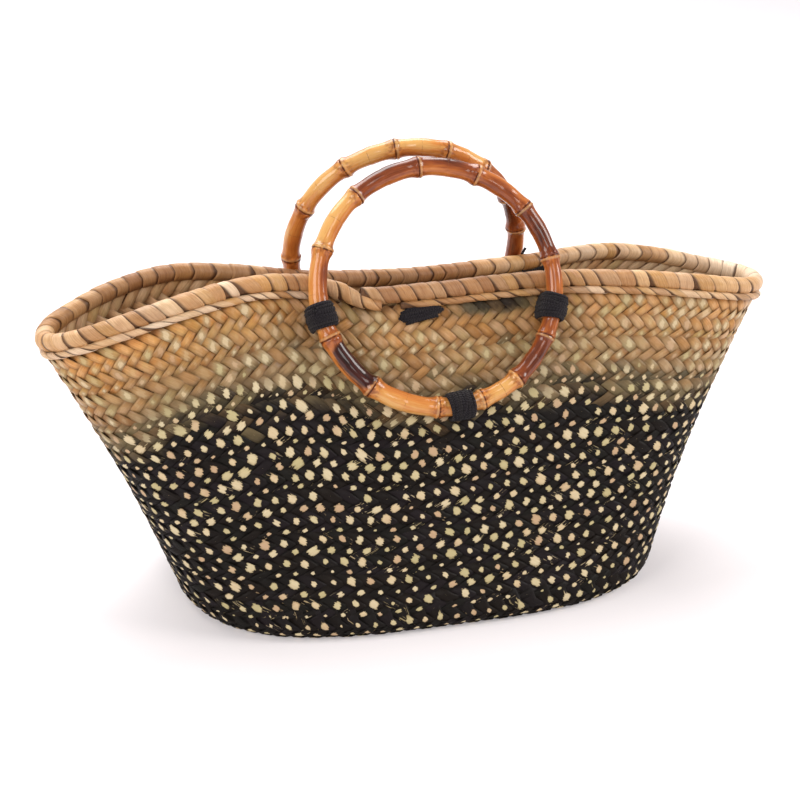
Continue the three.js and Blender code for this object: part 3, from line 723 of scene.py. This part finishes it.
def wraps(name, strand, replaces, pitch, slant, low, high, seed, lap, pale):
    """Leaf wound round a strand from one angle round to another: each lap is a ribbon over the next."""
    own = np.random.default_rng(seed)
    n = int(strand.length / pitch)
    gaps = np.clip(own.normal(1, 0.17, n), 0.65, 1.45)
    starts = (np.cumsum(gaps) - gaps) / gaps.sum() * strand.length
    widths = np.diff(np.append(starts, strand.length))
    q, angle, faces = patch((0, 0.06, 0.3, 0.6, 0.85, 0.97, 1.0), np.radians(np.linspace(low, high, 19)))
    tilt = own.normal(1, 0.22, n)[:, None]
    thin = np.exp(-((angle - math.radians(245)) / 0.5) ** 2)[None] * own.uniform(0.1, 0.4, n)[:, None]
    spread = 0.5 + (q[None] - 0.5) * (LAP_REACH - thin)
    chevron = np.where(angle > math.radians(12), angle - math.pi / 2,
                       math.radians(-78) - 0.9 * (angle - math.radians(12)))
    distance = starts[:, None] + widths[:, None] * spread + slant * tilt * chevron[None]
    lift = lap * (0.1 + 0.75 * np.sin(np.clip(q, 0, 1) * 2.1) - 1.3 * (q < 0.03) - 1.2 * (q > 0.99))[None] \
        + own.normal(0, 0.12, n)[:, None] - 0.5 * lap
    distance = np.clip(distance, 0, strand.length)
    points = strand.place(distance, np.broadcast_to(angle[None], distance.shape), lift)
    marks = np.stack(np.broadcast_arrays(angle[None] * strand.radius[0], (q[None] - 0.5) * widths[:, None],
                                         own.random(n)[:, None]), -1)
    # where each point lies across its lap, for the painted shadow under the lap and the painted highlight near
    # its edge
    crest = np.minimum((q - 0.1) * 5, (1 - q) * 60)[None] + np.zeros((n, 1))
    turn = np.degrees(np.arctan2(points[..., 1] / MOUTH_HALF_DEPTH, points[..., 0] / RIM_HALF_LENGTH))
    # painted shade on the lower inner face of the back roll
    shaded = np.exp(-((turn - 100) / 45) ** 2) * np.clip(1.8 - angle, 0, 1)
    # brown: random tone, paler on the piping, the table's brown and pale right end, which are partly painted
    # shade and light, and the painted shade above
    brown = own.normal(0, 0.2, n)[:, None] - pale + round_table(STRAW_TONE_AND_PAINTED_LIGHT, 1, turn) * 0.8 + shaded
    amber = own.normal(0.1, 0.25, n)[:, None] + 0.4 * np.clip((angle[None] - 2.5) / 1.5, 0, 1)
    return piece(name, points, repeated(faces[:, ::-1], len(q), n), RIM_LEAF, replaces, "rim_straw",
                 strand=marks.reshape(-1, 3), crest=crest.ravel(),
                 amber=np.clip(amber, 0, 1).ravel(), dye=np.clip(brown, -1, 1).ravel())


def filler(name, strand, depth, sides):
    """The bundle inside the wraps, in the dark core finish: painted shade where it shows between them."""
    at = np.append(np.arange(0, strand.length, 4.0), strand.length)
    points, faces, along, angle = tube(strand, at, sides, lambda d, a: np.zeros_like(d) - depth)
    marks = np.stack([along, angle * 3, np.full_like(along, -1.0)], -1)
    faces = [*faces.tolist(), *end_caps(len(points), sides)]
    return piece(name, points, faces, CORE, (), "rim_straw", strand=marks)


roll, piping = roll_line(), piping_line()
wraps("rim_wraps", roll, ("rim_roll",), pitch=11.0, slant=2.7, low=-75, high=262, seed=41, lap=0.85, pale=0.0)
filler("rim_bundle", roll, depth=0.55, sides=16)
wraps("piping_wraps", piping, ("rim_piping",), pitch=10.8, slant=3.4, low=20, high=380, seed=42, lap=0.4,
      pale=0.35)
filler("piping_bundle", piping, depth=0.4, sides=10)


# Bamboo rings
RING_SIDES = 28


def corners_of(node):
    """The corners of a node's solid, in millimetres."""
    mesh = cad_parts[node].data
    flat = np.zeros(len(mesh.vertices) * 3)
    mesh.vertices.foreach_get("co", flat)
    return flat.reshape(-1, 3) / MM


class Ring:
    """Where a handle stands, read from its solid: angle 0 is at its right and a quarter turn at its top."""

    def __init__(self, node, butt, seed, canes):
        corners = corners_of(node)
        self.node, self.butt, self.seed = node, butt, seed
        self.joints, self.tones, self.dark_sides = zip(*canes)
        middle = corners.mean(0)
        normal = np.linalg.svd(corners - middle, full_matrices=False)[2][2]
        self.normal = normal * np.sign(normal[1])
        self.level = unit(np.cross(self.normal, [0, 0, 1.0]))
        self.slope = np.cross(self.level, self.normal)
        across, up = (corners - middle) @ self.level, (corners - middle) @ self.slope
        flat = np.stack([across, up, np.ones(len(corners))], -1)
        fitted = np.linalg.lstsq(flat * [2, 2, 1], (flat[:, :2] ** 2).sum(1), rcond=None)[0]
        self.middle = middle + fitted[0] * self.level + fitted[1] * self.slope

    def point(self, degrees):
        turn = np.radians(degrees)[..., None]
        return self.middle + RING * (np.cos(turn) * self.level + np.sin(turn) * self.slope)


def bamboo_ring(ring, burns):
    """A ring of cane with a ridge and a sheath at each joint; burns are (from, to, side) in ring angles."""
    half = math.degrees(BUTT_GAP / 2 / RING)
    walked = np.linspace(half, 360 - half, 561)
    own = np.random.default_rng(ring.seed)
    line = ring.point(ring.butt - walked)
    strand = Strand(line, ROD, inward=ring.middle - line)
    nodes = np.radians(np.array(ring.joints)) * RING
    ridge = own.uniform(0.75, 1.25, len(nodes))

    def from_joint(distance):
        """How far past the nearest joint a distance is, and which joint that is."""
        gap = distance[..., None] + math.radians(half) * RING - nodes
        nearest = np.argmin(np.abs(gap), -1)
        return np.take_along_axis(gap, nearest[..., None], -1)[..., 0], nearest

    def lift(distance, angle):
        """How far the skin stands off the plain rod."""
        gap, nearest = from_joint(distance)
        lean = gap + 0.5 * np.sin(angle + nearest * 2.0)
        swell = NODE_BULGE * ridge[nearest] * np.exp(-(lean / 3.4) ** 2)
        sheath = 0.4 * np.exp(-((lean - 1.6) / 0.9) ** 2) - 0.35 * np.exp(-(lean / 0.5) ** 2)
        turned = np.mod(angle - nearest * math.pi * 0.97 - 5.2 + math.pi, 2 * math.pi) - math.pi
        sheath = sheath + 0.9 * np.exp(-((gap + 2.6) / 2.1) ** 2 - (turned * ROD / 2.3) ** 2)
        waist = -0.25 * np.exp(-((np.abs(gap) - 9) / 5) ** 2)
        flat = 0.22 * np.sin(2 * angle + nearest * 1.3) + 0.12 * np.sin(distance * 0.09 + angle)
        return swell + sheath + waist + flat + ROD_TAPER * (0.5 - distance / strand.length)

    at = np.unique(np.concatenate([np.linspace(0, strand.length, 420)] + [
        node - math.radians(half) * RING + np.linspace(-5, 5, 17) for node in nodes]))
    at = at[(at >= 0) & (at <= strand.length)]
    points, faces, along, angle = tube(strand, at, RING_SIDES, lift)
    faces = [*faces.tolist(), *end_caps(len(points), RING_SIDES)]
    gap = from_joint(along)[0]
    around = np.abs(np.mod(angle + math.pi, 2 * math.pi) - math.pi) * ROD
    cane = np.stack([along + ring.seed * 500, around, gap], -1)
    degrees = np.mod(ring.butt - np.degrees((along + math.radians(half) * RING) / RING), 360)
    walked_here = along / strand.length * (360 - 2 * half) + half
    past = np.mod(walked_here[:, None] - np.array(ring.joints), 360)
    section = np.argmin(past, 1)
    size = np.mod(np.roll(ring.joints, -1) - np.array(ring.joints, float), 360)[section]
    into = past[np.arange(len(past)), section] / size
    tones, dark_side = np.array(ring.tones)[section], np.radians(ring.dark_sides)[section]
    tone = tones + 0.3 * np.cos(angle - dark_side) * np.sin(math.pi * np.clip(into, 0, 1)) ** 0.5
    burn = np.zeros_like(along)
    for low, high, face in burns:
        inside = np.clip((degrees - low) / 6, 0, 1) * np.clip((high - degrees) / 6, 0, 1)
        burn = np.maximum(burn, inside * (0.6 + 0.8 * np.cos(angle - face)))
    return piece(ring.node.replace("handle", "bamboo_ring"), points, faces, BAMBOO, (ring.node,), "bamboo",
                 cane=cane, burn=burn, tone=tone)


# For each joint: degrees from the butt joint, how dark the cane after it is, and its darkest side
FRONT = Ring("front_handle", butt=276, seed=1, canes=(
    (11, .35, 40), (44, .55, -20), (74, .42, 0), (116.5, .2, 20), (147.5, .72, -170), (181, .72, 170),
    (210, .45, -60), (238, .66, -80), (265, .42, -60), (304, .6, -90), (329, .33, 90), (349, .33, 90)))
BACK = Ring("back_handle", butt=270, seed=2, canes=(
    (11, .5, -60), (29, .5, -60), (47, .5, 0), (88, .45, 0), (117, .3, 20), (146, .32, 60),
    (171.5, .35, 20), (197, .4, 0), (219, .6, -60), (240, .6, -30), (260, .5, -60), (286, .5, 0),
    (320, .5, 0), (349, .5, -60)))
bamboo_ring(FRONT, [(203, 234, -0.9)])
bamboo_ring(BACK, [])


# Yarn
YARN_SIDES = 8
LASHING_YARN, INNER_YARN, STITCH_YARN = 0.95, 1.0, 1.15
# How far a lashing has slipped along its ring, in millimetres
SLIPPED = {"front_lashing_right": 4.0, "front_lashing_left": -2.0}
# The stitch: its loops, how much taller it spreads than its solid, and how far right and up it has pulled
STITCH_LOOPS, STITCH_SPREAD, STITCH_RIGHT, STITCH_UP = 8, 1.25, 3, 3


def ply(distance, angle):
    """The ridges of twisted yarn."""
    return 0.06 * np.sin(3 * angle + distance * 1.8)


def yarn(name, lines, radius, replaces=()):
    """Soft round cords along closed or open lines, as one piece."""
    own = np.random.default_rng(len(name))
    points, faces, marks, count = [], [], [], 0
    for line, closed in lines:
        if closed:
            line = np.concatenate([line, line[:1]])
        forward = unit(np.gradient(line, axis=0))
        strand = Strand(line, radius, inward=np.cross(forward, own.normal(size=3)))
        at = strand.at[:-1] if closed else strand.at
        made, quads, along, angle = tube(strand, at, YARN_SIDES, ply, closed)
        points.append(made)
        faces += (quads + count).tolist()
        if not closed:
            faces += end_caps(len(made), YARN_SIDES, count)
        marks.append(np.stack([along, angle, np.full_like(along, own.random())], -1))
        count += len(made)
    return piece(name, np.concatenate(points), faces, YARN, replaces, "cord", strand=np.concatenate(marks))


def lashing(node, ring):
    """Yarn wound over the rod in three layers and through the wall, laid where its solid is."""
    corners = corners_of(node)
    mean = corners.mean(0)
    angle = math.degrees(math.atan2((mean - ring.middle) @ ring.slope, (mean - ring.middle) @ ring.level))
    centre = ring.point(np.array(angle))
    along = unit(ring.point(np.array(angle + 1)) - ring.point(np.array(angle - 1)))
    inward = ring.normal * -np.sign(ring.middle[1])
    side = np.cross(along, inward)
    across, deep, wide = ((corners - centre) @ axis for axis in (side, inward, along))
    own = np.random.default_rng(len(node) + ring.seed)
    least = ROD + LASHING_YARN + 0.3
    half = min(across.max(), -across.min()) - LASHING_YARN
    front, back = -deep.min() - LASHING_YARN, deep.max() - LASHING_YARN
    low, high = wide.min() + LASHING_YARN, wide.max() - LASHING_YARN
    bend = np.linspace(0, math.pi, 17)
    lines = []
    for layer, turns in enumerate((11, 10, 9, 4)):
        crossing = layer == 3
        share = min(layer, 2) / 2
        places = np.linspace(low + 0.5 * share, high - 0.5 * share, turns)
        if crossing:
            places = own.choice(places, turns) * 0.5
        for place in places:
            rounded = 1 - 0.1 * share * (abs(place - wide.mean()) / (np.ptp(wide) / 2)) ** 2
            r = (least + (half - least) * share) * rounded + own.normal(0, 0.12)
            d = (least + (front - least) * share) * rounded + own.normal(0, 0.12)
            arc = np.stack([r * np.cos(bend), -d * np.sin(bend)], -1)
            left = np.stack([-r * np.linspace(0.99, 0.93, 5), np.linspace(0.12, 0.8, 5) * back], -1)
            right = left[::-1] * [-1, 1]
            corner = np.array([[-r * 0.9, back * 0.97], [-r * 0.7, back], [0, back + 0.2], [r * 0.7, back],
                               [r * 0.9, back * 0.97]])
            loop = np.concatenate([arc, left, corner, right])
            sway = np.sin(np.linspace(0, 2 * math.pi, len(loop)) + own.uniform(0, 6))
            drift = place + SLIPPED.get(node, 0.0) + (own.normal(0, 2.6 if crossing else 0.35) + 0.2) * sway
            line = centre + loop[:, :1] * side + loop[:, 1:] * inward + drift[:, None] * along
            lines.append((line, True))
    return yarn(node.replace("lashing", "yarn_lashing"), lines, LASHING_YARN, (node,))


def inner_run():
    """The yarn of the right back lashing where it crosses the inside of the wall, and its loose end."""
    own = np.random.default_rng(4)
    lines = []
    for k, far in enumerate((71.0, 72.2, 73.3, 74.2, 75.0, 75.4, 75.6, 75.6, 75.4, 75.2)):
        turns = np.linspace(65.0 + own.uniform(-0.3, 0.3), far + own.uniform(-0.3, 0.3), 16)
        tilt = np.radians(np.linspace(16 - 14 * k, -34 - 9 * k, 16) + own.uniform(-2, 2))[:, None]
        ends = 1.6 * np.clip(np.abs(np.linspace(-1, 1, 16)) - 0.75, 0, 1) / 0.25
        reach = (ROLL + 0.9 - ends)[:, None]
        turned = np.sin(tilt) * [0, 0, 1.0] - np.cos(tilt) * outward(turns, 3.0)
        lines.append((roll_centre(turns) + reach * turned, False))
    for level in (2.985, 2.972, 2.959, 2.946, 2.933):
        turns = np.linspace(68.5 + own.uniform(-0.3, 0.3), 75.5 + own.uniform(-0.3, 0.3), 12)
        sloped = level + own.uniform(-0.004, 0.004) * np.linspace(-1, 1, 12)
        lines.append((skin(turns, sloped) - outward(turns, sloped) * (WALL + 1.6), False))
    turns, climb = np.linspace(70.6, 69.9, 8), np.linspace(-1, 3.6, 8)
    loose_end = roll_centre(turns) + outward(turns, 2.95) * 2.0
    loose_end[:, 2] += ROLL + climb
    lines.append((loose_end, False))
    return yarn("back_inner_yarn", lines, INNER_YARN)


def stitch():
    """The stitch under the front of the rim: flat loops side by side, fewer and closer to its right end."""
    corners = corners_of("front_stitch")
    mean = corners.mean(0)
    axes = np.linalg.svd(corners - mean, full_matrices=False)[2]
    long, high, deep = axes[0] * np.sign(axes[0][0]), axes[1], axes[2]
    high, deep = (high, deep) if abs(high[2]) > abs(deep[2]) else (deep, high)
    high, deep = high * np.sign(high[2]), deep * np.sign(-deep[1])
    length, tall, depth = [np.abs((corners - mean) @ axis).max() for axis in (long, high, deep)]
    tall = tall * STITCH_SPREAD
    middle = mean + long * STITCH_RIGHT + high * STITCH_UP
    own = np.random.default_rng(9)
    lines = []
    for place in np.linspace(-1, 1, STITCH_LOOPS):
        level = place * (tall - STITCH_YARN)
        t = np.linspace(0, 2 * math.pi, 40, endpoint=False)
        shrink = 1.02 - 0.24 * place ** 2 - 0.08 * own.random()
        x = (length - STITCH_YARN) * shrink * np.sign(np.cos(t)) * np.abs(np.cos(t)) ** 0.35
        y = (depth - STITCH_YARN) * np.sign(np.sin(t)) * np.abs(np.sin(t)) ** 0.5
        narrow = 1 - 0.3 * np.clip(-x / length, 0, 1) ** 3 - 0.75 * np.clip(x / length, 0, 1) ** 1.5
        rise = level * narrow + 0.6 * np.sin(x * 0.25 + own.uniform(0, 6)) + x * 0.1
        lines.append((middle + x[:, None] * long + y[:, None] * deep + rise[:, None] * high, True))
    return yarn("front_stitch_yarn", lines, STITCH_YARN, ("front_stitch",))


for ring, end in ((FRONT, "front"), (BACK, "back")):
    for spot in ("left", "right", "bottom"):
        lashing(f"{end}_lashing_{spot}", ring)
inner_run()
stitch()


# Floor, light and camera
def paper_floor():
    """A sheet of white paper that lies under the bag and curves up behind it."""
    mesh = bmesh.new()
    front = [mesh.edges.new([mesh.verts.new((-4, -4, 0)), mesh.verts.new((4, -4, 0))])]
    sweep = [(0, 3 + math.sin(t), 1 - math.cos(t)) for t in np.linspace(0.2, 1.5, 8)]
    path = [(0, 3, 0), *sweep, (0, 4, 4)]
    last = Vector((0, -4, 0))
    for step in path:
        out = bmesh.ops.extrude_edge_only(mesh, edges=front)["geom"]
        front = [g for g in out if isinstance(g, bmesh.types.BMEdge)]
        verts = [g for g in out if isinstance(g, bmesh.types.BMVert)]
        bmesh.ops.translate(mesh, verts=verts, vec=Vector(step) - last)
        last = Vector(step)
    bmesh.ops.recalc_face_normals(mesh, faces=mesh.faces[:])
    data = bpy.data.meshes.new("paper_floor")
    mesh.to_mesh(data)
    mesh.free()
    data.polygons.foreach_set("use_smooth", np.ones(len(data.polygons), bool))
    floor = bpy.data.objects.new("paper_floor", data)
    bpy.context.scene.collection.objects.link(floor)
    paper = Finish("white_paper", Specular_IOR_Level=0.2, Roughness=0.8, Base_Color=(0.56, 0.535, 0.545, 1),
                   Emission_Color=(1, 0.95, 0.97, 1), Emission_Strength=0.3)
    floor.data.materials.append(paper.material)


def lamp(name, place, aim, size, power, tint):
    """A soft box of a size at a place, in metres, that faces the aim."""
    light = bpy.data.lights.new(name, "AREA")
    light.shape, light.size, light.size_y = "RECTANGLE", *size
    light.energy, light.color = power, tint
    made = bpy.data.objects.new(name, light)
    made.location = place
    made.rotation_euler = (Vector(aim) - Vector(place)).to_track_quat("-Z", "Y").to_euler()
    bpy.context.scene.collection.objects.link(made)


paper_floor()
lamp("window", (-2.0, -1.0, 1.3), (0, 0, 0.1), (1.4, 1.2), 32, (1, 0.97, 0.93))
lamp("front_window", (-0.2, -2.4, 1.7), (0, 0, 0.1), (0.9, 1.2), 17, (1, 0.97, 0.93))
lamp("overhead", (-0.3, 2.0, 3.4), (0, 0.2, 0), (4.4, 2.6), 220, (1, 1, 1))
lamp("right_window", (2.0, -0.7, 1.4), (0.1, 0, 0.15), (1.1, 1.2), 40, (1, 0.97, 0.94))
world = bpy.data.worlds.new("studio")
world.use_nodes = True
world.node_tree.nodes["Background"].inputs[0].default_value = (1, 0.985, 1, 1)
world.node_tree.nodes["Background"].inputs[1].default_value = 0.3
bpy.context.scene.world = world
bpy.context.scene.view_settings.view_transform = "Standard"

camera = bpy.data.cameras.new("camera")
camera.lens, camera.sensor_width = 70.2, 36
camera.clip_start, camera.clip_end = 0.05, 50
eye = bpy.data.objects.new("camera", camera)
azimuth, elevation, distance = math.radians(-15.5), math.radians(20.4), 1.111
back = Vector((math.sin(azimuth) * math.cos(elevation), -math.cos(azimuth) * math.cos(elevation),
               math.sin(elevation)))
eye.location = Vector((-0.0129, 0, 0.1218)) + back * distance
eye.rotation_euler = (-back).to_track_quat("-Z", "Y").to_euler()
bpy.context.scene.collection.objects.link(eye)
bpy.context.scene.camera = eye
